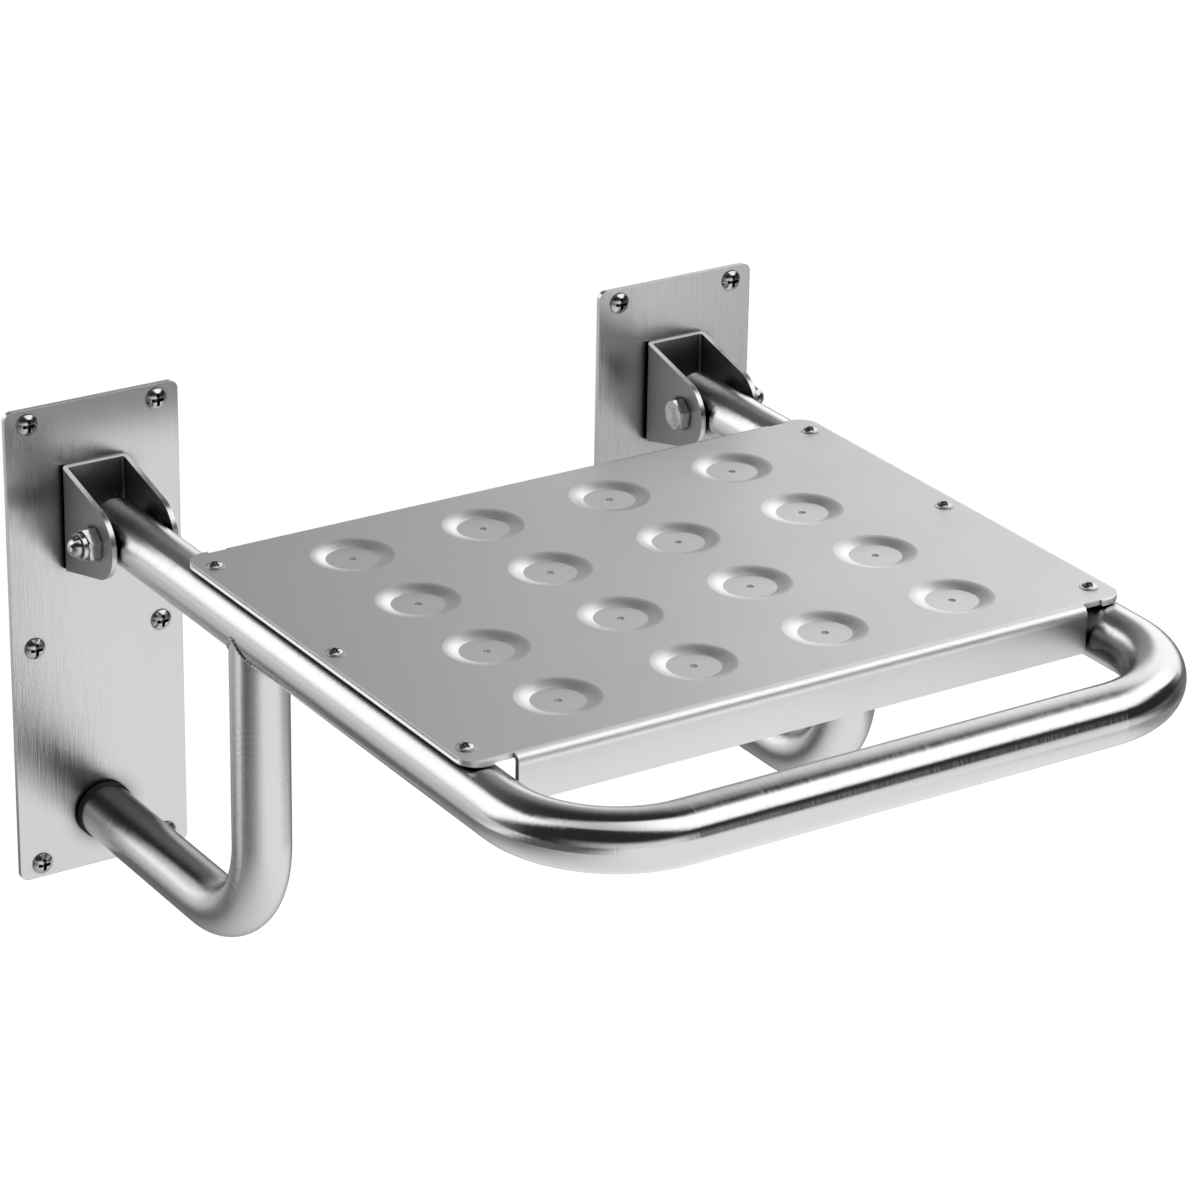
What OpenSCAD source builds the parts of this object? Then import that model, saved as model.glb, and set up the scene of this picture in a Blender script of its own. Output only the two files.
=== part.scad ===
// Fold down wall seat of brushed stainless steel.
// Two wall plates carry clevis brackets. A bent tube frame with a dished sheet seat swings up
// about the two hinge bolts, and rests on two bent legs against the plates when it is down.
// The wall is the plane Y = 0 and the seat stands out towards -Y. +Z is up.
// X = 0 is midway between the plates and Z = 0 is their middle screw row.

/* [Seat panel] */
// Width of the sheet seat
panel_w = 400; // [340:5:480]
// Depth over the two folded edges
panel_d = 296; // [285:1:340]
// Distance of the rear fold in front of the hinge bolt
panel_out = 79; // [60:1:110]
// Thickness of the seat sheet
panel_t = 3; // [2:0.5:4]
// Height of the folded edges
panel_fold_h = 26; // [16:1:40]
// Outer radius of the folds
panel_fold_r = 4.5; // [4.2:0.1:8]
// Radius of the seat corners
panel_corner_r = 12; // [4:1:16]
// Distance of the corner tabs behind the face of the folded edge
panel_tab_back = 2.4; // [0.5:0.1:3.5]
// Gap between the end of a folded edge and the side tube
panel_fold_gap = 1.2; // [0.5:0.1:6]
// Width of the relief cut beside a folded edge
panel_relief_w = 12; // [6:1:13]

/* [Seat dishes] */
// Number of dishes across the seat
dish_columns = 4; // [2:1:4]
// Number of dishes along the seat
dish_rows = 4; // [2:1:4]
// Distance between dishes across the seat
dish_pitch_x = 80.5; // [60:0.5:88]
// Distance between dishes along the seat
dish_pitch_y = 68; // [50:1:74]
// Distance of the dish pattern behind the middle of the seat
dish_back = 1.5; // [0:0.5:8]
// Diameter of a dish at its soft outer lip
dish_d = 45; // [38:1:48]
// Diameter of the flat dish floor
dish_floor_d = 28.6; // [20:0.2:30]
// Depth of a dish
dish_depth = 2.4; // [1.5:0.1:4]
// Diameter of the drain hole in each dish
drain_d = 4; // [2:0.5:8]

/* [Tube frame] */
// Outer diameter of the frame and leg tube
tube_d = 32; // [28:0.5:34]
// Wall thickness of the tube
tube_wall = 2; // [1:0.25:3]
// Distance from the side edge of the seat to the axis of the side tube
tube_inset = 10; // [6:0.5:16]
// Distance from the front fold of the seat to the axis of the front rail
rail_out = 76; // [66:1:120]
// Bend radius of the frame corners on the tube axis
frame_bend_r = 62; // [48:1:64]
// Distance from the hinge bolt to the rear end of the side tube
tube_tail = 16; // [13:0.5:17]
// Thickness of the discs that close the rear tube ends
end_disc_t = 2; // [1:0.5:4]

/* [Legs] */
// Distance of the upright part of the leg in front of the hinge bolt
leg_out = 147; // [120:1:190]
// Distance from the frame axis down to the level part of the leg
leg_drop = 182; // [140:1:195]
// Bend radius of the leg on the tube axis
leg_bend_r = 60; // [48:1:72]
// Thickness of the weld bead between leg and frame
weld_t = 1.4; // [0.8:0.1:2]

/* [Rubber feet] */
// Diameter of the rubber foot
foot_d = 34; // [33:0.5:40]
// Thickness of the rubber foot outside the leg
foot_t = 4.5; // [3:0.5:8]
// Rounding of the rim of the foot
foot_rim_r = 1.5; // [0.5:0.1:2]
// Length of the foot's stem inside the leg
foot_stem = 18; // [10:1:40]
// Depth of the grooves round the stem
foot_groove = 1.2; // [0.4:0.1:2]
// Gap between foot and plate with the seat down
foot_gap = 0.3; // [0.2:0.1:1]

/* [Wall plates] */
// Width of a wall plate
plate_w = 105; // [90:1:130]
// Height of a wall plate
plate_h = 282; // [260:1:340]
// Thickness of a wall plate
plate_t = 3; // [2:0.5:6]
// Radius of the plate corners
plate_corner_r = 5; // [2:0.5:10]
// Distance of the wall screws from the plate's side edges
fixing_in_x = 13.5; // [10:0.5:18]
// Distance of the outer wall screws from the plate's top and bottom edges
fixing_in_z = 8.5; // [8:0.5:14]

/* [Hinge brackets] */
// Distance from the face of the plate to the hinge bolt
pivot_out = 40; // [38:1:48]
// Height of the hinge bolt above the middle screw row
pivot_up = 74; // [60:1:90]
// Height of the bracket against the plate
bracket_h = 62; // [50:1:80]
// Radius of the ears round the hinge bolt
ear_r = 20.5; // [16:0.5:22]
// Thickness of the bracket sheet
bracket_t = 3; // [2:0.5:4]
// Outer bend radius of the bracket
bracket_bend_r = 4.5; // [4.2:0.1:8]
// Diameter of the plug welds that hold the bracket to the plate
plug_d = 8; // [5:0.5:12]

/* [Hinge bolts] */
// Diameter of the hinge bolt
bolt_d = 10; // [8:0.5:12]
// Width across the flats of bolt head and nut
hex_af = 17; // [15:0.5:19]
// Angle of the tightened bolt head and nut past the place with a corner at the top
hex_turn = 10; // [0:5:30]
// Height of the bolt head
bolt_head_h = 6.4; // [4:0.2:8]
// Height of the hexagon of the domed nut
nut_hex_h = 7.4; // [5:0.2:10]
// Diameter of the collar that holds the nut's locking ring
nut_collar_d = 15.4; // [14:0.2:16]
// Height of that collar
nut_collar_h = 2.6; // [1:0.2:4]
// Diameter of the nut's dome
nut_dome_d = 12.2; // [11:0.2:13.6]
// Outer diameter of the pivot sleeve through the side tube
sleeve_d = 16; // [14:0.5:18]
// Distance by which the sleeve stands out of the tube at each end
sleeve_out = 0.15; // [0.1:0.05:1]
// Thickness of a hinge washer
washer_t = 0.8; // [0.5:0.1:2]
// Diameter of a hinge washer
washer_d = 20; // [16:0.5:26]

/* [Wall screws] */
// Diameter of the wall screw
fixing_d = 6; // [4:0.5:6.5]
// Length of the wall screw under its head
fixing_l = 16; // [10:1:40]
// Diameter of the wall screw head
fixing_head_d = 12; // [10:0.5:14]
// Height of the wall screw head
fixing_head_h = 3.6; // [2.8:0.2:6]

/* [Seat screws] */
// Number of seat screws along each side
seat_screws = 3; // [2:1:5]
// Distance from the first seat screw to the last
seat_screw_span = 254; // [180:1:260]
// Diameter of the seat screw
seat_screw_d = 6; // [4:0.5:6]
// Length of the seat screw under its head
seat_screw_l = 14; // [10:1:18]
// Diameter of the flange under the seat screw head
seat_flange_d = 10.2; // [9:0.2:14]
// Height of the seat screw head
seat_head_h = 2.1; // [1.5:0.1:4]
// Diameter of the rivet nut in the side tube
rivet_d = 9; // [8:0.5:10]
// Diameter of the rivet nut's flange
rivet_flange_d = 12; // [11:0.5:14]
// Thickness of the rivet nut's flange between tube and seat
rivet_flange_t = 0.6; // [0.4:0.1:2]

/* [Hidden] */
$fn = 72;

// Overrun of every cut past the face that it opens
overrun = 1;
// Radial clearance of the hinge bolt in its sleeve
pivot_fit = 0.05;
// Radial clearance of a screw or rivet nut in its hole
hole_fit = 0.3;
// Radial clearance of a thread, sleeve, disc, stem or weld in its seat
seat_fit = 0.05;
// Gap on each side between washer and sleeve
run_gap = 0.15;
// Width of the flat ring that joins a dish to the sheet round it
dish_lap = 0.5;

steel_colour = "silver";
bright_colour = "gainsboro";
rubber_colour = "dimgray";

tube_r = tube_d / 2;
bore_r = tube_r - tube_wall;
frame_x = panel_w / 2 - tube_inset;
plate_face_y = -plate_t;
pivot_y = plate_face_y - pivot_out;
tail_y = pivot_y + tube_tail;

// The seat lies on the rivet nuts in the tops of the side tubes.
panel_bottom_z = pivot_up + tube_r + rivet_flange_t;
panel_top_z = panel_bottom_z + panel_t;
panel_rear_y = pivot_y - panel_out;
panel_front_y = panel_rear_y - panel_d;
panel_mid_y = (panel_rear_y + panel_front_y) / 2;
tab_d = panel_d - 2 * panel_tab_back;
fold_l = 2 * (frame_x - tube_r - panel_fold_gap);
// The bend starts where the blank's straight edge ends.
bend_start = panel_d / 2 - panel_fold_r;

rail_y = panel_front_y - rail_out;
side_front_y = rail_y + frame_bend_r;
rail_end_x = frame_x - frame_bend_r;

leg_y = pivot_y - leg_out;
leg_z = pivot_up - leg_drop;
leg_knee_z = leg_z + leg_bend_r;
leg_heel_y = leg_y + leg_bend_r;
foot_face_y = plate_face_y - foot_gap;
leg_end_y = foot_face_y - foot_t;

sleeve_l = tube_d + 2 * sleeve_out;
bracket_gap = sleeve_l + 2 * (run_gap + washer_t);
bracket_w = bracket_gap + 2 * bracket_t;
bracket_out = pivot_out + ear_r;
// Angle from the level to the point where an ear's straight edge meets its round end
ear_angle = atan2(bracket_h / 2, pivot_out) + acos(ear_r / norm([pivot_out, bracket_h / 2]));
hex_r = hex_af / 2 / cos(30);
hex_face_share = 0.475;
plug_spacing = bracket_h / 2;
plug_r = plug_d / 2;

neck_share = 0.9;
tip_share = 0.12;
rim_share = 0.25;
button_share = 0.8;
recess_w_share = 0.16;
recess_l_share = 0.62;
recess_depth_share = 0.6;

// The bulge of a rivet nut clears the curved inside of the tube wall.
bulge_r = rivet_d / 2 + tube_wall / 2;
bulge_h = tube_wall * 3 / 2;
bulge_z = tube_wall + bore_r - sqrt(bore_r * bore_r - bulge_r * bulge_r) + seat_fit;
rivet_l = bulge_z + bulge_h + seat_screw_d;

// Dish wall: one arc that leaves the seat level and meets the floor in a crisp edge.
dish_run = (dish_d - dish_floor_d) / 2;
dish_turn = 2 * atan2(dish_depth, dish_run);
dish_arc_r = dish_run / sin(dish_turn);

module on_side(side) {
    mirror([side < 0 ? 1 : 0, 0, 0]) children();
}

module rounded_rect(w, h, r) {
    square([w - 2 * r, h], center = true);
    square([w, h - 2 * r], center = true);
    for (x = [-1, 1], y = [-1, 1])
        translate([x * (w / 2 - r), y * (h / 2 - r)]) circle(r);
}

// Extrudes an outline given in X and Z away from the wall.
module forward(depth) {
    rotate([90, 0, 0]) linear_extrude(depth) children();
}

// Extrudes an outline given in Y and Z along X, equally to both sides.
module across(width) {
    rotate([90, 0, 90]) linear_extrude(width, center = true) children();
}

module rod_x(r, x0, x1) {
    translate([x0, 0, 0]) rotate([0, 90, 0]) cylinder(r = r, h = x1 - x0);
}

module ring(r_out, r_in) {
    difference() {
        circle(r_out);
        circle(r_in);
    }
}

// A quarter turn of an outline round the Z axis, at a distance from it.
module quarter_turn(bend_r) {
    rotate_extrude(angle = 90) translate([bend_r, 0]) children();
}

module at_fixings() {
    for (x = [-1, 1], z = [-1, 0, 1])
        translate([frame_x + x * (plate_w / 2 - fixing_in_x), 0, z * (plate_h / 2 - fixing_in_z)])
            rotate([90, 0, 0]) children();
}

module at_plugs() {
    for (z = [-1, 1])
        translate([frame_x, 0, pivot_up + z * plug_spacing / 2]) rotate([90, 0, 0]) children();
}

module wall_plate(side) {
    on_side(side) difference() {
        translate([frame_x, 0, 0]) forward(plate_t) rounded_rect(plate_w, plate_h, plate_corner_r);
        at_fixings() translate([0, 0, -overrun])
            cylinder(r = fixing_d / 2 + hole_fit, h = plate_t + 2 * overrun);
        at_plugs() translate([0, 0, -overrun]) cylinder(r = plug_r, h = plate_t + 2 * overrun);
    }
}

module plug_welds(side) {
    on_side(side) at_plugs() cylinder(r = plug_r - seat_fit, h = plate_t);
}

// Outline of a channel seen from above, with its two rear corners rounded.
module channel_outline(w, d, r) {
    translate([-w / 2, -d]) square([w, d - r]);
    translate([r - w / 2, -d]) square([w - 2 * r, d]);
    for (x = [-1, 1]) translate([x * (w / 2 - r), -r]) circle(r);
}

module ear_outline() {
    edge_y = ear_r * cos(ear_angle) - pivot_out;
    edge_z = ear_r * sin(ear_angle);
    translate([-pivot_out, 0]) circle(ear_r);
    polygon([[0, bracket_h / 2], [edge_y, edge_z], [edge_y, -edge_z], [0, -bracket_h / 2]]);
}

module hinge_bracket(side) {
    on_side(side) translate([frame_x, plate_face_y, pivot_up]) difference() {
        intersection() {
            translate([0, 0, -bracket_h / 2]) linear_extrude(bracket_h) difference() {
                channel_outline(bracket_w, bracket_out, bracket_bend_r);
                translate([0, -bracket_t])
                    channel_outline(bracket_gap, bracket_out, bracket_bend_r - bracket_t);
            }
            across(bracket_w + overrun) ear_outline();
        }
        translate([0, -pivot_out, 0]) rod_x(bolt_d / 2 + hole_fit, -bracket_w, bracket_w);
    }
}

// Hexagon standing on the XY plane, rotated from a corner on X. Its top corners are cut to a cone.
module hexagon(h, angle) {
    turned_r = hex_r + overrun;
    face_r = hex_af * hex_face_share;
    intersection() {
        rotate([0, 0, angle]) cylinder(r = hex_r, h = h, $fn = 6);
        rotate_extrude() polygon([[0, 0], [turned_r, 0],
            [turned_r, h - (turned_r - face_r) * tan(30)], [face_r, h], [0, h]]);
    }
}

module hinge_bolt(side) {
    head_x = frame_x - bracket_w / 2;
    on_side(side) translate([0, pivot_y, pivot_up]) {
        translate([head_x, 0, 0]) rotate([0, -90, 0]) hexagon(bolt_head_h, -hex_turn);
        rod_x(bolt_d / 2, head_x, head_x + bracket_w + nut_hex_h + nut_collar_h / 2);
    }
}

module domed_lock_nut(side) {
    dome_r = nut_dome_d / 2;
    dome_z = nut_hex_h + nut_collar_h;
    on_side(side) translate([frame_x + bracket_w / 2, pivot_y, pivot_up]) rotate([0, 90, 0])
        difference() {
            union() {
                hexagon(nut_hex_h, hex_turn);
                cylinder(d = nut_collar_d, h = dome_z);
                translate([0, 0, dome_z]) sphere(dome_r);
            }
            translate([0, 0, -overrun]) cylinder(r = bolt_d / 2 + seat_fit, h = dome_z + overrun);
        }
}

module hinge_washers(side) {
    on_side(side) translate([frame_x, pivot_y, pivot_up]) for (x = [-1, 1])
        translate([x * (bracket_gap - washer_t) / 2, 0, 0]) rotate([0, 90, 0])
            linear_extrude(washer_t, center = true) ring(washer_d / 2, bolt_d / 2 + seat_fit);
}

// Cross recess cut into the top of a screw head.
module cross_recess(head_d, head_h) {
    for (a = [0, 90]) rotate([0, 0, a])
        translate([0, 0, head_h])
            cube([head_d * recess_l_share, head_d * recess_w_share, 2 * head_h * recess_depth_share],
                center = true);
}

// Pan head on the XY plane: a straight rim under a dome.
module pan_head(d, h, rim_h) {
    dome_h = h - rim_h;
    dome_r = (d * d / 4 + dome_h * dome_h) / (2 * dome_h);
    difference() {
        intersection() {
            cylinder(d = d, h = h);
            translate([0, 0, h - dome_r]) sphere(dome_r);
        }
        cross_recess(d, h);
    }
}

// Threaded length on the XY plane, with a chamfered tip below.
module screw_thread(d, l) {
    tip = d * tip_share;
    cylinder(d1 = d - 2 * tip, d2 = d, h = tip);
    translate([0, 0, tip]) cylinder(d = d, h = l - tip);
}

// Screws with a thin neck in the plate and the full thread behind it.
module wall_screws(side) {
    on_side(side) translate([0, plate_face_y, 0]) at_fixings() {
        pan_head(fixing_head_d, fixing_head_h, fixing_head_h * rim_share);
        translate([0, 0, -plate_t]) cylinder(d = fixing_d * neck_share, h = plate_t);
        translate([0, 0, -fixing_l]) screw_thread(fixing_d, fixing_l - plate_t);
    }
}

// U-shaped run of the frame, with its rear ends taken further back by past.
module frame_path(r, past) {
    for (side = [-1, 1]) {
        translate([side * frame_x, tail_y + past, 0]) forward(tail_y + past - side_front_y) circle(r);
        translate([side * rail_end_x, side_front_y, 0])
            rotate([0, 0, side < 0 ? 180 : 270]) quarter_turn(frame_bend_r) circle(r);
    }
    translate([0, rail_y, 0]) rod_x(r, -rail_end_x, rail_end_x);
}

module at_seat_screws() {
    for (i = [0 : seat_screws - 1])
        translate([frame_x, panel_mid_y + (i / (seat_screws - 1) - 1 / 2) * seat_screw_span, 0])
            children();
}

module seat_frame_tube() {
    color(steel_colour) difference() {
        translate([0, 0, pivot_up]) difference() {
            frame_path(tube_r, 0);
            frame_path(bore_r, overrun);
        }
        for (side = [-1, 1]) on_side(side) {
            translate([0, pivot_y, pivot_up])
                rod_x(sleeve_d / 2 + seat_fit, frame_x - tube_d, frame_x + tube_d);
            at_seat_screws() translate([0, 0, pivot_up])
                cylinder(r = rivet_d / 2 + hole_fit, h = tube_d);
        }
    }
}

module pivot_sleeve(side) {
    on_side(side) translate([frame_x, pivot_y, pivot_up]) rotate([0, 90, 0])
        linear_extrude(sleeve_l, center = true) ring(sleeve_d / 2, bolt_d / 2 + pivot_fit);
}

module frame_end_discs() {
    color(steel_colour) for (side = [-1, 1]) on_side(side)
        translate([frame_x, tail_y, pivot_up]) rotate([90, 0, 0])
            cylinder(r = bore_r - seat_fit, h = end_disc_t);
}

// Leg from the frame axis down, round the bend and back to the wall, longer by past.
module leg_path(r, past) {
    translate([0, leg_y, leg_knee_z]) cylinder(r = r, h = pivot_up - leg_knee_z);
    translate([0, leg_heel_y, leg_knee_z]) rotate([0, 90, 0]) rotate([0, 0, -90])
        quarter_turn(leg_bend_r) circle(r);
    translate([0, leg_end_y + past, leg_z]) forward(leg_end_y + past - leg_heel_y) circle(r);
}

// Side tube of the frame as a cutter for what is welded to it.
module side_tube(r) {
    translate([0, leg_y, pivot_up]) rotate([90, 0, 0]) cylinder(r = r, h = 2 * tube_d, center = true);
}

module leg(side) {
    on_side(side) translate([frame_x, 0, 0]) difference() {
        leg_path(tube_r, 0);
        leg_path(bore_r, overrun);
        side_tube(tube_r + seat_fit);
    }
}

// Bead along the saddle where the leg meets the side tube, up to a quarter radius below its axis.
module leg_weld(side) {
    on_side(side) translate([frame_x, 0, 0]) difference() {
        intersection() {
            translate([0, leg_y, pivot_up - tube_d]) cylinder(r = tube_r + weld_t, h = tube_d - tube_r / 4);
            side_tube(tube_r + weld_t);
        }
        side_tube(tube_r + seat_fit);
        translate([0, leg_y, pivot_up - 2 * tube_d]) cylinder(r = tube_r + seat_fit, h = 2 * tube_d);
    }
}

// Half section of the foot from its face on the plate to the end of its stem in the leg.
module foot_outline() {
    stem_r = bore_r - seat_fit;
    groove_h = foot_stem / 7;
    difference() {
        union() {
            square([foot_d / 2 - foot_rim_r, foot_t]);
            translate([0, foot_rim_r]) square([foot_d / 2, foot_t - 2 * foot_rim_r]);
            for (z = [foot_rim_r, foot_t - foot_rim_r])
                translate([foot_d / 2 - foot_rim_r, z]) circle(foot_rim_r);
            square([stem_r, foot_t + foot_stem]);
        }
        for (i = [1, 3, 5]) translate([stem_r - foot_groove, foot_t + i * groove_h])
            square([foot_groove + overrun, groove_h]);
    }
}

module rubber_foot(side) {
    on_side(side) translate([frame_x, foot_face_y, leg_z]) rotate([90, 0, 0])
        rotate_extrude() foot_outline();
}

module at_dishes() {
    for (column = [0 : dish_columns - 1], row = [0 : dish_rows - 1])
        translate([(column - (dish_columns - 1) / 2) * dish_pitch_x,
            panel_mid_y + dish_back + (row - (dish_rows - 1) / 2) * dish_pitch_y, panel_top_z])
            children();
}

// Half section of one dish with the seat surface at zero height.
module dish_outline() {
    lip_r = dish_d / 2;
    floor_r = dish_floor_d / 2;
    inner_r = dish_arc_r - panel_t;
    floor_z = -dish_depth;
    under_z = floor_z - panel_t;
    under_end = [lip_r - inner_r * sin(dish_turn), inner_r * cos(dish_turn) - dish_arc_r];
    heel_r = under_end[0] - (under_end[1] - under_z) / tan(dish_turn);
    difference() {
        union() {
            polygon([[drain_d / 2, floor_z], [floor_r, floor_z], [lip_r, 0], [lip_r + dish_lap, 0],
                [lip_r + dish_lap, -panel_t], [lip_r, -panel_t], under_end, [heel_r, under_z],
                [drain_d / 2, under_z]]);
            intersection() {
                translate([lip_r, -dish_arc_r]) circle(dish_arc_r);
                translate([floor_r, floor_z]) square([dish_run, dish_depth]);
            }
        }
        translate([lip_r, -dish_arc_r]) circle(inner_r);
    }
}

// The flat blank: rounded tabs at the corners, relief cuts, and full length between them.
module panel_blank() {
    difference() {
        rounded_rect(panel_w, tab_d, panel_corner_r);
        for (y = [-1, 1]) translate([0, y * (bend_start + panel_fold_r)])
            square([fold_l + 2 * panel_relief_w, 2 * panel_fold_r], center = true);
    }
}

// Folded edge behind the seat's middle, in Y and Z: a quarter bend and a straight flange.
module fold_outline() {
    translate([bend_start, -panel_fold_r]) intersection() {
        ring(panel_fold_r, panel_fold_r - panel_t);
        square(panel_fold_r);
    }
}

module folded_edge() {
    across(fold_l) fold_outline();
    flange_h = panel_fold_h - panel_fold_r;
    translate([0, panel_d / 2, -panel_fold_r - flange_h / 2]) forward(panel_t) {
        translate([0, panel_t / 2]) square([fold_l, flange_h - panel_t], center = true);
        rounded_rect(fold_l, flange_h, panel_t);
    }
}

module seat_panel() {
    color(steel_colour) difference() {
        union() {
            difference() {
                translate([0, panel_mid_y, panel_bottom_z]) linear_extrude(panel_t) panel_blank();
                at_dishes() translate([0, 0, -panel_t - overrun])
                    cylinder(d = dish_d, h = panel_t + 2 * overrun);
            }
            at_dishes() rotate_extrude() dish_outline();
            for (a = [0, 180]) translate([0, panel_mid_y, panel_top_z]) rotate([0, 0, a]) folded_edge();
        }
        for (side = [-1, 1]) on_side(side) at_seat_screws()
            translate([0, 0, panel_bottom_z - overrun])
                cylinder(r = seat_screw_d / 2 + hole_fit, h = panel_t + 2 * overrun);
    }
}

// Rivet nut: flange on the tube, barrel through the wall and the bulge that clamps it.
module rivet_nuts(side) {
    wall_top_z = pivot_up + tube_r;
    on_side(side) at_seat_screws() translate([0, 0, wall_top_z]) rotate([180, 0, 0]) difference() {
        union() {
            translate([0, 0, -rivet_flange_t]) cylinder(d = rivet_flange_d, h = rivet_flange_t);
            cylinder(d = rivet_d, h = rivet_l);
            translate([0, 0, bulge_z]) cylinder(r = bulge_r, h = bulge_h);
        }
        translate([0, 0, -rivet_flange_t - overrun])
            cylinder(r = seat_screw_d / 2 + seat_fit, h = rivet_l + rivet_flange_t + 2 * overrun);
    }
}

// Button screws with a flange, in the rivet nuts.
module seat_screw_set(side) {
    flange_h = seat_head_h * rim_share;
    on_side(side) at_seat_screws() translate([0, 0, panel_top_z]) {
        cylinder(d = seat_flange_d, h = flange_h);
        pan_head(seat_flange_d * button_share, seat_head_h, flange_h);
        translate([0, 0, -seat_screw_l]) screw_thread(seat_screw_d, seat_screw_l);
    }
}

module left_wall_plate() { color(steel_colour) wall_plate(-1); }
module right_wall_plate() { color(steel_colour) wall_plate(1); }
module left_hinge_bracket() { color(steel_colour) hinge_bracket(-1); }
module right_hinge_bracket() { color(steel_colour) hinge_bracket(1); }
module left_bracket_plug_welds() { color(bright_colour) plug_welds(-1); }
module right_bracket_plug_welds() { color(bright_colour) plug_welds(1); }
module left_hinge_bolt() { color(bright_colour) hinge_bolt(-1); }
module right_hinge_bolt() { color(bright_colour) hinge_bolt(1); }
module left_domed_lock_nut() { color(bright_colour) domed_lock_nut(-1); }
module right_domed_lock_nut() { color(bright_colour) domed_lock_nut(1); }
module left_hinge_washers() { color(rubber_colour) hinge_washers(-1); }
module right_hinge_washers() { color(rubber_colour) hinge_washers(1); }
module left_wall_screws() { color(bright_colour) wall_screws(-1); }
module right_wall_screws() { color(bright_colour) wall_screws(1); }
module left_pivot_sleeve() { color(steel_colour) pivot_sleeve(-1); }
module right_pivot_sleeve() { color(steel_colour) pivot_sleeve(1); }
module left_leg() { color(steel_colour) leg(-1); }
module right_leg() { color(steel_colour) leg(1); }
module left_leg_weld() { color(bright_colour) leg_weld(-1); }
module right_leg_weld() { color(bright_colour) leg_weld(1); }
module left_rubber_foot() { color(rubber_colour) rubber_foot(-1); }
module right_rubber_foot() { color(rubber_colour) rubber_foot(1); }
module left_rivet_nuts() { color(bright_colour) rivet_nuts(-1); }
module right_rivet_nuts() { color(bright_colour) rivet_nuts(1); }
module left_seat_screws() { color(bright_colour) seat_screw_set(-1); }
module right_seat_screws() { color(bright_colour) seat_screw_set(1); }

left_wall_plate();
right_wall_plate();
left_hinge_bracket();
right_hinge_bracket();
left_bracket_plug_welds();
right_bracket_plug_welds();
left_hinge_bolt();
right_hinge_bolt();
left_domed_lock_nut();
right_domed_lock_nut();
left_hinge_washers();
right_hinge_washers();
left_wall_screws();
right_wall_screws();
seat_frame_tube();
left_pivot_sleeve();
right_pivot_sleeve();
frame_end_discs();
left_leg();
right_leg();
left_leg_weld();
right_leg_weld();
left_rubber_foot();
right_rubber_foot();
seat_panel();
left_rivet_nuts();
right_rivet_nuts();
left_seat_screws();
right_seat_screws();
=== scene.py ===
# Fold down wall seat of brushed stainless steel: finishes, weld beads, light and camera.
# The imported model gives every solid; this file dresses it and adds the fine weld beads.
# Lengths are in metres and angles in degrees. A pair of numbers says where a smooth step
# starts and where it is complete; two more are its values there.
import math
import bpy
import bmesh
from mathutils import Matrix, Vector


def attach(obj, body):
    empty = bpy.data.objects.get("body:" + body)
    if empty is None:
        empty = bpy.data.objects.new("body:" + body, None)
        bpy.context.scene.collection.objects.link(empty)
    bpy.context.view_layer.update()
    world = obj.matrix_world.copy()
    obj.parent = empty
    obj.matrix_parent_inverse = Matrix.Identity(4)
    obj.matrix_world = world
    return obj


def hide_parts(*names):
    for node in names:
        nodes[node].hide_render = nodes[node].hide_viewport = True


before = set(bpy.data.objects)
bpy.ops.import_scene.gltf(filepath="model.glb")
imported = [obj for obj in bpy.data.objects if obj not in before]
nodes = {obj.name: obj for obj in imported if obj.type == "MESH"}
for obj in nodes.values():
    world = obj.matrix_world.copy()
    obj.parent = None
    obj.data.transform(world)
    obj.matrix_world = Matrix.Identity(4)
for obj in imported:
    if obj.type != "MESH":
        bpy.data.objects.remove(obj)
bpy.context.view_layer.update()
scene = bpy.context.scene
print("frame loaded:", len(nodes), "nodes")

cameraSetup = {
    "lens": 138.615,  # mm
    "sensor": 36,  # mm
    "farthest": 50,
    "place": (-1.22899, -2.11297, 1.05943),
    "azimuth": 33.005,  # from +Y towards +X
    "elevation": 23.867,  # how far it looks down
    "roll": 1.061,
}


def placeCamera(setup):
    turn = math.radians(setup["azimuth"])
    tilt = math.radians(setup["elevation"])
    roll = math.radians(setup["roll"])
    flat = math.cos(tilt)
    ahead = Vector((math.sin(turn) * flat, math.cos(turn) * flat, -math.sin(tilt)))
    level = Vector((math.cos(turn), -math.sin(turn), 0))
    upright = level.cross(ahead)
    side = level * math.cos(roll) + upright * math.sin(roll)
    top = upright * math.cos(roll) - level * math.sin(roll)
    data = bpy.data.cameras.new("camera")
    data.lens = setup["lens"]
    data.sensor_width = setup["sensor"]
    data.clip_end = setup["farthest"]
    camera = bpy.data.objects.new("camera", data)
    pose = Matrix((side, top, -ahead)).transposed().to_4x4()
    camera.matrix_world = Matrix.Translation(setup["place"]) @ pose
    scene.collection.objects.link(camera)
    scene.camera = camera


placeCamera(cameraSetup)
print("camera placed")

raySamples = {"bevel": 4, "paintedCreviceShade": 12}


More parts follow.
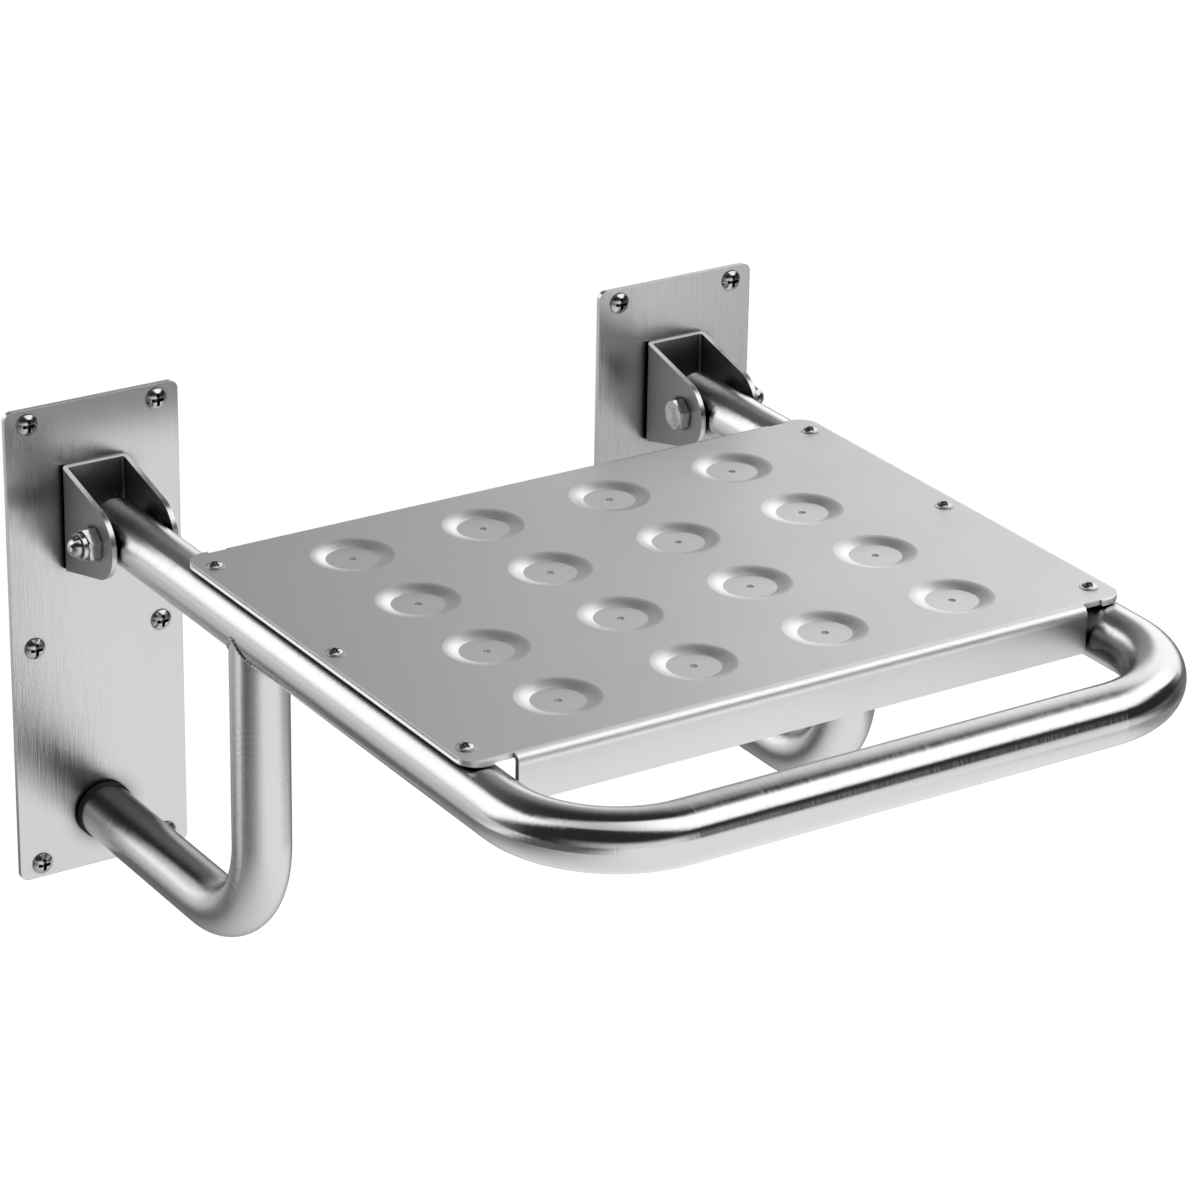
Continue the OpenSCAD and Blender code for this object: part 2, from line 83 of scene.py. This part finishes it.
class Wire:
    # one shader socket; sums on it add Math nodes
    def __init__(self, tree, socket=None):
        self.tree = tree
        self.socket = socket

    def make(self, kind, settings=None, inputs=None, out=0):
        # any node, from its type, its settings and the values or links of its sockets
        node = self.tree.nodes.new("ShaderNode" + kind)
        for name, value in (settings or {}).items():
            setattr(node, name, value)
        for name, value in (inputs or {}).items():
            if isinstance(value, Wire):
                self.tree.links.new(value.socket, node.inputs[name])
            else:
                node.inputs[name].default_value = value
        return Wire(self.tree, node.outputs[out] if node.outputs else None)

    def maths(self, operation, *values):
        return self.make("Math", {"operation": operation}, dict(enumerate(values)))

    def __add__(self, other):
        return self.maths("ADD", self, other)

    def __sub__(self, other):
        return self.maths("SUBTRACT", self, other)

    def __mul__(self, other):
        return self.maths("MULTIPLY", self, other)

    def __truediv__(self, other):
        return self.maths("DIVIDE", self, other)

    def __rsub__(self, other):
        return self.maths("SUBTRACT", other, self)

    __radd__ = __add__
    __rmul__ = __mul__

    def size(self):
        return self.maths("ABSOLUTE", self)

    def atLeast(self, other):
        return self.maths("MAXIMUM", self, other)

    def atMost(self, other):
        return self.maths("MINIMUM", self, other)

    def rise(self, low, high, start=0.0, end=1.0):
        # smooth step from start at low to end at high
        return self.make("MapRange", {"interpolation_type": "SMOOTHSTEP"}, {
            "Value": self, "From Min": low, "From Max": high, "To Min": start, "To Max": end})

    def split(self):
        apart = self.make("SeparateXYZ", None, {0: self}).socket.node
        return [Wire(self.tree, output) for output in apart.outputs]

    def join(self, x, y, z):
        return self.make("CombineXYZ", None, {0: x, 1: y, 2: z})

    def towards(self, direction):
        # how far a vector points in a direction
        return self.make("VectorMath", {"operation": "DOT_PRODUCT"},
                         {0: self, 1: direction}, "Value")

    def noise(self, scale, detail=2.0, roughness=0.5):
        return self.make("TexNoise", None, {
            "Vector": self, "Scale": scale, "Detail": detail, "Roughness": roughness})

    def bump(self, strength, distance, height, normal):
        return self.make("Bump", None, {
            "Strength": strength, "Distance": distance, "Height": height, "Normal": normal})

    def bevel(self, radius):
        return self.make("Bevel", {"samples": raySamples["bevel"]}, {"Radius": radius})

    def grey(self, shade, tint=(1.0, 1.0, 1.0)):
        # a colour from a number, with a slight tint
        return self.make("VectorMath", {"operation": "MULTIPLY"},
                         {0: self.join(shade, shade, shade), 1: tint})

    def paintedCreviceShade(self, gapShade):
        # painted shade: darkens narrow gaps and recesses, where the real part gets no light
        clear = self.make("AmbientOcclusion", {
            "samples": raySamples["paintedCreviceShade"], "only_local": gapShade["alone"]},
            {"Distance": gapShade["reach"]}, "AO")
        return clear.rise(gapShade["deep"], gapShade["open"], gapShade["darkest"], 1.0)


def startMaterial(name):
    material = bpy.data.materials.new(name)
    material.use_nodes = True
    material.node_tree.nodes.clear()
    wire = Wire(material.node_tree)
    place = wire.make("TexCoord", None, None, "Object")
    return material, wire, place


def endMaterial(wire, shade, metallic, roughness, normal, tint=(1.0, 1.0, 1.0)):
    surface = wire.make("BsdfPrincipled", None, {
        "Base Color": wire.grey(shade, tint), "Metallic": metallic,
        "Roughness": roughness, "Normal": normal})
    wire.make("OutputMaterial", None, {"Surface": surface})


tubePaths = {  # straight up to the corner, round the bend, and straight again from the front
    "frame": {"corner": 0.128, "front": -0.432, "bend": 0.062},
    "leg": {"corner": -0.048, "front": -0.130, "bend": 0.060},
}
tubeGrain = {"along": 4000, "round": 9}
grainScales = {
    "plate": (2600, 2600, 18),  # upright brushing
    "seat": (16, 2600, 2600),  # brushing from side to side
    "bracket": (1600, 1600, 240),
    "bare": (900, 900, 900),  # no direction
}


def pathLength(place, kind):
    # distance along a bent tube, so that brushing runs round it
    x, y, z = place.split()
    path = tubePaths[kind]
    if kind == "frame":
        start = x.size().atMost(path["corner"])
        outside = (x.size() - path["corner"]).atLeast(0.0)
    else:
        start = (z - path["corner"]).atLeast(0.0)
        outside = (path["corner"] - z).atLeast(0.0)
    turn = outside.maths("ARCTAN2", outside, (path["front"] - y).atLeast(0.0))
    return start + turn * path["bend"] + (y - path["front"]).atLeast(0.0)


def grainPlace(place, kind):
    # coordinates in which brushing lines are plain noise
    x, y, z = place.split()
    if kind in tubePaths:
        along = pathLength(place, kind)
        turn = tubeGrain["round"]
        return place.join(along * tubeGrain["along"], (x + y) * turn, z * turn)
    scaleX, scaleY, scaleZ = grainScales[kind]
    return place.join(x * scaleX, y * scaleY, z * scaleZ)


bracketTouch = {
    "sides": (0.8, 0.95),  # sideways part of the normal on the flat sides
    # painted shade on the flat sides
    "paintedSideShade": 0.46,
    "rougher": 0.16,
    "contactShade": {"reach": 0.0035, "darkest": 0.06, "alone": False, "deep": 0.5, "open": 0.95},
}


def touchBracket(skin, place, facing, touch):
    # painted shade darkens the flat sides between bright cut edges, which are also rougher; painted
    # contact shade where bolt and nut press on them
    sides = facing[0].size().rise(*touch["sides"])
    skin["shade"] = skin["shade"] * (1 - sides * touch["paintedSideShade"]) * place.paintedCreviceShade(touch["contactShade"])
    skin["roughness"] = skin["roughness"] + sides * touch["rougher"]


seatTouch = {
    "paintedUnderShade": (-0.7, -0.3, 0.4, 1.0),  # painted shade under the seat
    "foldY": (-0.4120, -0.4140),  # painted highlight along the outside of the front fold
    "foldZ": (0.0865, 0.0895),
    "foldHighlight": 0.45,
    "foldRougher": 0.1,
    "wallTilt": (0.996, 0.95),  # walls of the dishes, painted lighter
    "wallUp": (0.5, 0.8),
    "wallPaintedLight": 0.22,
    "wallRougher": 0.07,
    "floorZ": (0.0920, 0.0913),  # floors of the dishes
    "floorY": (-0.412, -0.410),
    "floorShade": 0.07,
    # faces that look forward or back, painted lighter
    "flange": (0.7, 0.9),
    "flangePaintedLight": 0.12,
    "edgeX": (0.1990, 0.2000),  # side edges of the sheet, ground round
    "edgeZ": 0.0904,
    "edgeBend": -300.0,
}


def touchSeat(skin, place, facing, touch):
    x, y, z = place.split()
    fold = y.rise(*touch["foldY"]) * z.rise(*touch["foldZ"])
    wall = facing[2].rise(*touch["wallTilt"]) * facing[2].rise(*touch["wallUp"])
    floor = z.rise(*touch["floorZ"]) * y.rise(*touch["floorY"])
    flange = facing[1].size().rise(*touch["flange"])
    # painted shade under the seat, painted light on the fold, the dish walls and the flanges
    skin["shade"] = skin["shade"] * facing[2].rise(*touch["paintedUnderShade"]) * (1 + fold * touch["foldHighlight"])
    skin["shade"] = skin["shade"] * (1 + wall * touch["wallPaintedLight"] + floor * touch["floorShade"]
                                     + flange * touch["flangePaintedLight"])
    skin["roughness"] = (skin["roughness"] + fold * touch["foldRougher"]
                         + wall * touch["wallRougher"])
    drop = (z - touch["edgeZ"]).atLeast(0.0)
    ground = drop * drop * touch["edgeBend"] * x.size().rise(*touch["edgeX"])
    skin["normal"] = place.bump(1.0, 1.0, ground, skin["normal"])


frameTouch = {
    "inward": (-0.03, -0.12),
    "underSeat": (-0.10, -0.13),
    "fromBelow": (-0.6, -0.3),
    "toAbove": (0.5, 0.25),
    "shade": 0.82,
}


def touchFrame(skin, place, facing, touch):
    # the inner sides of the side tubes lie in the shade of the seat
    x, y, z = place.split()
    inner = (facing[0] * x).rise(*touch["inward"]) * y.rise(*touch["underSeat"])
    band = facing[2].rise(*touch["fromBelow"]) * facing[2].rise(*touch["toAbove"])
    skin["shade"] = skin["shade"] * (1 - inner * band * touch["shade"])


legTouch = {
    "upward": (0.45, 0.75),
    "levelZ": (-0.080, -0.092),
    "levelY": (-0.155, -0.125),
    "rightward": (0.05, 0.6),
    "shade": 0.5,
    "shadeRight": 0.36,
}


def touchLeg(skin, place, facing, touch):
    # the top of the level part lies in the shade of the seat
    x, y, z = place.split()
    top = facing[2].rise(*touch["upward"]) * z.rise(*touch["levelZ"]) * y.rise(*touch["levelY"])
    deep = touch["shade"] + facing[0].rise(*touch["rightward"]) * touch["shadeRight"]
    skin["shade"] = skin["shade"] * (1 - top * deep)


touches = {
    "bracket": (touchBracket, bracketTouch),
    "seat": (touchSeat, seatTouch),
    "frame": (touchFrame, frameTouch),
    "leg": (touchLeg, legTouch),
}
steelTint = (1.0, 1.0, 0.995)
steelNoise = {
    "lines": {"scale": 1.0, "detail": 2.0, "roughness": 0.6},
    "wear": {"detail": 3.0, "roughness": 0.55},
    "cloudShare": 0.32,  # scale of the clouds as a share of that of the wear
}


def steelFinish(name, look):
    material, wire, place = startMaterial(name)
    grain = grainPlace(place, look["grain"]).noise(**steelNoise["lines"])
    lines = grain - 0.5
    wear = place.noise(look["smudge"], **steelNoise["wear"]) - 0.5
    cloud = place.noise(look["smudge"] * steelNoise["cloudShare"]) - 0.5
    skin = {
        "shade": look["shade"] + lines * look["lineTone"] + cloud * look["cloudTone"],
        "roughness": look["roughness"] + lines * look["lineRough"] + wear * look["wearRough"],
        "normal": wire.bevel(look["edge"]),
    }
    # painted shade in narrow gaps and recesses of the steel
    if look["gapShade"]:
        skin["shade"] = skin["shade"] * wire.paintedCreviceShade(look["gapShade"])
    if look["grain"] in touches:
        touch, settings = touches[look["grain"]]
        facing = wire.make("TexCoord", None, None, "Normal").split()
        touch(skin, place, facing, settings)
    normal = wire.bump(look["bump"], look["depth"], grain, skin["normal"])
    endMaterial(wire, skin["shade"], 1.0, skin["roughness"], normal, steelTint)
    return material


finishes = {
    "plate_steel": {
        "grain": "plate", "shade": 0.64, "roughness": 0.22, "edge": 0.0006,
        "smudge": 16, "cloudTone": 0.06, "wearRough": 0.05,
        "lineTone": 0.06, "lineRough": 0.08, "bump": 1.0, "depth": 0.00007,
        "gapShade": {"reach": 0.016, "darkest": 0.15, "alone": False, "deep": 0.35, "open": 0.95}},
    "bracket_steel": {
        "grain": "bracket", "shade": 0.62, "roughness": 0.26, "edge": 0.0003,
        "smudge": 30, "cloudTone": 0.06, "wearRough": 0.06,
        "lineTone": 0.03, "lineRough": 0.05, "bump": 0.6, "depth": 0.00005,
        "gapShade": {"reach": 0.035, "darkest": 0.38, "alone": True, "deep": 0.35, "open": 0.95}},
    "tube_steel": {
        "grain": "frame", "shade": 0.64, "roughness": 0.12, "edge": 0.0003,
        "smudge": 22, "cloudTone": 0.04, "wearRough": 0.04,
        "lineTone": 0.03, "lineRough": 0.04, "bump": 1.0, "depth": 0.00005,
        "gapShade": {"reach": 0.010, "darkest": 0.03, "alone": False, "deep": 0.35, "open": 0.95}},
    "leg_steel": {
        "grain": "leg", "shade": 0.64, "roughness": 0.13, "edge": 0.0003,
        "smudge": 22, "cloudTone": 0.04, "wearRough": 0.04,
        "lineTone": 0.04, "lineRough": 0.04, "bump": 1.0, "depth": 0.00007,
        "gapShade": {"reach": 0.008, "darkest": 0.2, "alone": False, "deep": 0.35, "open": 0.95}},
    "seat_steel": {
        "grain": "seat", "shade": 0.68, "roughness": 0.34, "edge": 0.0004,
        "smudge": 14, "cloudTone": 0.08, "wearRough": 0.08,
        "lineTone": 0.04, "lineRough": 0.06, "bump": 1.0, "depth": 0.00006,
        "gapShade": {"reach": 0.003, "darkest": 0.1, "alone": True, "deep": 0.35, "open": 0.95}},
    "weld_metal": {
        "grain": "bare", "shade": 0.66, "roughness": 0.24, "edge": 0.0002,
        "smudge": 120, "cloudTone": 0.12, "wearRough": 0.12,
        "lineTone": 0.08, "lineRough": 0.1, "bump": 0.3, "depth": 0.00003,
        "gapShade": None},
}
fastenerLook = {
    "pits": {"scale": 900.0, "detail": 3.0, "roughness": 0.6},
    "smear": {"scale": 140.0},
    "shade": 0.56,
    "smearTone": 0.3,
    "roughness": 0.15,
    "smearRough": 0.12,
    "edge": 0.00035,
    "recess": {"reach": 0.004, "darkest": 0.01, "alone": True, "deep": 0.55, "open": 0.95},
    "threadPitch": 0.001,
    "threadFrom": (0.0002, 0.0006),  # behind the wall plane
    "threadBump": 0.9,
    "threadDepth": 0.0005,
    "pitBump": 0.5,
    "pitDepth": 0.00006,
    "forgedFacing": (0.93, 0.98),  # rough forged end of a bolt head
    "forgedFrom": (0.16, 0.165),
    "forgedSmear": 0.5,
    "forgedPits": 1.2,
    "forgedShade": 0.1,
    "forgedRougher": 0.4,
}


def fastenerFinish(look):
    material, wire, place = startMaterial("fastener_steel")
    x, y, z = place.split()
    pits = place.noise(**look["pits"])
    smear = place.noise(**look["smear"]) - 0.5
    ridge = y.maths("PINGPONG", y / look["threadPitch"], 0.5) * 2.0 * y.rise(*look["threadFrom"])
    soft = wire.bevel(look["edge"])
    thread = wire.bump(look["threadBump"], look["threadDepth"], ridge, soft)
    normal = wire.bump(look["pitBump"], look["pitDepth"], pits, thread)
    facing = wire.make("TexCoord", None, None, "Normal").split()
    forged = facing[0].size().rise(*look["forgedFacing"]) * x.size().rise(*look["forgedFrom"])
    shade = look["shade"] + smear * (look["smearTone"] + forged * look["forgedSmear"])
    shade = shade + (pits - 0.5) * forged * look["forgedPits"]
    # painted shade in the recesses of the heads
    shade = shade * wire.paintedCreviceShade(look["recess"]) + forged * look["forgedShade"]
    roughness = (look["roughness"] + smear * look["smearRough"]
                 + forged * look["forgedRougher"])
    endMaterial(wire, shade, 1.0, roughness, normal)
    return material


darkNoise = {
    "grit": {"detail": 4.0, "roughness": 0.6},
    "gritDepth": 0.0001,
    "gritRough": 0.15,
    "dust": {"scale": 60.0, "detail": 3.0},
}
darkLooks = {
    "washer_nylon": {"shade": 0.02, "roughness": 0.45, "edge": 0.0004,
                     "grit": 400.0, "bump": 0.2, "dustTone": 0.04},
    "foot_rubber": {"shade": 0.018, "roughness": 0.7, "edge": 0.0004,
                    "grit": 700.0, "bump": 0.5, "dustTone": 0.06},
}


def darkFinish(name, look):
    material, wire, place = startMaterial(name)
    grit = place.noise(look["grit"], **darkNoise["grit"])
    dust = place.noise(**darkNoise["dust"])
    normal = wire.bump(look["bump"], darkNoise["gritDepth"], grit, wire.bevel(look["edge"]))
    shade = look["shade"] + (dust - 0.5).atLeast(0.0) * look["dustTone"]
    roughness = look["roughness"] + (grit - 0.5) * darkNoise["gritRough"]
    endMaterial(wire, shade, 0.0, roughness, normal)
    return material


materials = {name: steelFinish(name, look) for name, look in finishes.items()}
materials["fastener_steel"] = fastenerFinish(fastenerLook)
for name, look in darkLooks.items():
    materials[name] = darkFinish(name, look)
for node in nodes.values():
    for place in node.material_slots:
        place.material = materials[place.material.name.split(".")[0]]
print("finishes made:", len(materials))


def addObject(name, mesh, material):
    data = bpy.data.meshes.new(name)
    mesh.to_mesh(data)
    mesh.free()
    data.materials.append(material)
    thing = bpy.data.objects.new(name, data)
    scene.collection.objects.link(thing)
    return thing


beadLook = {
    "tube": 0.016,  # both tubes have this radius
    "lift": 0.0002,  # of the bead's axis off the tube
    "bead": 0.0009,
    "sides": 12,
    "ripples": 58,
    "ringsPerRipple": 4,
    "step": 0.01,  # turn that gives the direction of the path, in radians
    "valley": 0.85,  # size of the bead between two ripples
    "ridge": 0.15,
    "unsteady": 0.06,
    "waves": 7,
    "side": 0.190,
    "leg": -0.190,
    "height": 0.074,
}


def saddlePoint(turn, radius):
    # line on which two tubes of one radius meet at a right angle
    return Vector((radius * math.cos(turn), radius * math.sin(turn), -radius * abs(math.sin(turn))))


def addBead(name, side, look):
    # rippled bead along the saddle where a leg meets the side tube
    mesh = bmesh.new()
    count = look["ripples"] * look["ringsPerRipple"]
    tube = look["tube"] + look["lift"]
    rings = []
    for i in range(count):
        turn = 2 * math.pi * i / count
        here = saddlePoint(turn, tube)
        ahead = saddlePoint(turn + look["step"], tube)
        part = (i % look["ringsPerRipple"]) / look["ringsPerRipple"]
        ripple = math.sin(math.pi * part)
        wave = math.sin(turn * look["waves"] + side)
        radius = look["bead"] * (look["valley"] + look["ridge"] * ripple + look["unsteady"] * wave)
        facing = (ahead - here).to_track_quat("Z", "Y").to_matrix().to_4x4()
        spot = Vector((side * look["side"], look["leg"], look["height"])) + here
        made = bmesh.ops.create_circle(mesh, segments=look["sides"], radius=radius,
                                       matrix=Matrix.Translation(spot) @ facing)
        rings.append(made["verts"])
    for first, second in zip(rings, rings[1:] + rings[:1]):
        edges = {edge for ring in (first, second) for vert in ring for edge in vert.link_edges
                 if edge.verts[0] in ring and edge.verts[1] in ring}
        bmesh.ops.bridge_loops(mesh, edges=list(edges))
    bmesh.ops.recalc_face_normals(mesh, faces=mesh.faces)
    for face in mesh.faces:
        face.smooth = True
    return addObject(name, mesh, materials["weld_metal"])


for word, side in (("left", -1), ("right", 1)):
    bead = addBead(word + "LegBead", side, beadLook)
    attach(bead, "folding_seat")
    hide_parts(word + "_leg_weld")
print("weld beads made")

floorLook = {
    "level": -0.386,
    "size": 14.0,
    "shade": 0.86,
    "shown": 0.85,  # share of the floor that is plain white to the camera
    "white": 1.12,
    "pool": 1.08,  # what the steel sees of the bright floor in front
    "leftSlant": 0.5,
    "left": (-1.0, 0.3, 0.13, 1.0),
    "rightSlant": 0.4,
    "right": (0.1, 1.6, 1.0, 0.17),
    "cornerX": (0.42, 0.75),
    "cornerY": (-1.15, -0.9),
    "cornerDim": 0.55,
    "back": (0.3, -0.3),
    "farSlant": 0.6,
    "farFrom": (-0.3, 0.0),
    "farShade": 0.18,
    "farSteps": (((0.62, 1.25), 0.5), ((1.1, 6.0), 0.4)),
    "stripX": (-0.62, -0.75),  # bright strip behind on the left, seen by the upright legs
    "stripFront": (0.02, 0.14),
    "stripBack": (0.52, 0.36),
    "strip": 0.6,
}


def floorShine(place, look):
    # what the steel sees of the floor: a painted reflection, a glow in lighter and darker patches
    # that only glossy rays meet
    x, y, z = place.split()
    left = (x - y * look["leftSlant"]).rise(*look["left"])
    right = (x + y * look["rightSlant"]).rise(*look["right"])
    corner = 1 - x.rise(*look["cornerX"]) * y.rise(*look["cornerY"]) * look["cornerDim"]
    pool = left * right * corner * y.rise(*look["back"]) * look["pool"]
    behind = y - x * look["farSlant"]
    far = look["farShade"] + sum(behind.rise(*step) * gain for step, gain in look["farSteps"])
    strip = (x.rise(*look["stripX"]) * y.rise(*look["stripFront"])
             * y.rise(*look["stripBack"]) * look["strip"])
    return pool + far * y.rise(*look["farFrom"]) + strip


def addFloor(look):
    material, wire, place = startMaterial("paleFloor")
    rays = wire.make("LightPath", None, None, "Is Camera Ray")
    shine = wire.make("LightPath", None, None, "Is Glossy Ray")
    plain = wire.make("BsdfDiffuse", None, {"Color": (look["shade"],) * 3 + (1,)})
    strength = rays * look["white"] + shine * floorShine(place, look)
    white = wire.make("Emission", None, {"Color": (1, 1, 1, 1), "Strength": strength})
    share = rays * look["shown"] + shine
    surface = wire.make("MixShader", None, {0: share, 1: plain, 2: white})
    wire.make("OutputMaterial", None, {"Surface": surface})
    mesh = bmesh.new()
    bmesh.ops.create_grid(mesh, x_segments=2, y_segments=2, size=look["size"] / 2,
                          matrix=Matrix.Translation((0, 0, look["level"])))
    floor = addObject("floor", mesh, material)


skyLook = {
    # white scrim that arches over from behind on the left to the front on the right
    "scrim": 1.55,
    "dim": 0.7,  # its thin part over the left side
    "strong": (((0.7, -0.3, 0.65), (0.6, 0.85)), ((-0.5, 0.68, 0.53), (0.6, 0.88))),
    "lowWay": (0.61, 0.63, 0.48),  # its lower left edge
    "lowShift": (-0.2, 0.2, 0.0, 0.15),
    "low": (-0.05, 0.04),
    "frontZ": (0.42, 0.48),
    "frontWay": (-0.209, 0.635, 0.744),
    "front": (-0.03, 0.05),
    "hazeZ": (0.2, -0.2),
    "hazeX": (0.0, -0.3),
    # the dark ceiling behind it lies between three planes
    "ceiling": (((0.342, 0.94, 0.0), (-0.02, 0.03)), ((-0.709, 0.474, 0.524), (-0.05, 0.02)),
                ((0.74, -0.22, 0.635), (-0.06, -0.02))),
    # pale wall behind on the right
    "wall": 0.15,
    "wallSteps": (((0.0, 0.4), 0.2), ((0.44, 0.62), 1.0)),
    "wallZ": (0.95, 0.48),
    "wallY": (0.1, 0.35),
    # pale low wall in front on the left
    "nearWay": (0.342, -0.94, 0.0),
    "near": (-0.1, 1.05),
    "nearZ": (0.36, 0.12),
    "nearX": (0.5, 0.3),
    "dark": 0.03,
}


def skyShade(way, look):
    # how bright the studio is in each direction, for all but the camera
    x, y, z = way.split()
    low = (way.towards(look["lowWay"]) + y.rise(*look["lowShift"])).rise(*look["low"])
    front = z.rise(*look["frontZ"]).atLeast(way.towards(look["frontWay"]).rise(*look["front"]))
    haze = 1 - z.rise(*look["hazeZ"]) * x.rise(*look["hazeX"])
    planes = [way.towards(normal).rise(*step) for normal, step in look["ceiling"]]
    ceiling = planes[0] * planes[1] * planes[2]
    spots = [way.towards(middle).rise(*step) for middle, step in look["strong"]]
    strong = spots[0].atLeast(spots[1])
    scrim = low * front * haze * (1 - ceiling) * (
        look["dim"] + strong * (look["scrim"] - look["dim"]))
    wall = look["wall"] + sum(x.rise(*step) * gain for step, gain in look["wallSteps"])
    wall = wall * z.rise(*look["wallZ"]) * y.rise(*look["wallY"])
    near = way.towards(look["nearWay"]).rise(*look["near"])
    near = near * z.rise(*look["nearZ"]) * x.rise(*look["nearX"])
    return look["dark"] + near + scrim.atLeast(wall)


def addSky(look):
    world = bpy.data.worlds.new("studio")
    scene.world = world
    world.use_nodes = True
    world.node_tree.nodes.clear()
    wire = Wire(world.node_tree)
    way = wire.make("TexCoord", None, None, "Generated")
    camera = wire.make("LightPath", None, None, "Is Camera Ray")
    strength = camera + (1 - camera) * skyShade(way, look)
    surface = wire.make("Background", None, {"Color": (1, 1, 1, 1), "Strength": strength})
    wire.make("OutputWorld", None, {"Surface": surface})


addFloor(floorLook)
addSky(skyLook)
scene.view_settings.view_transform = "Standard"
print("light set")
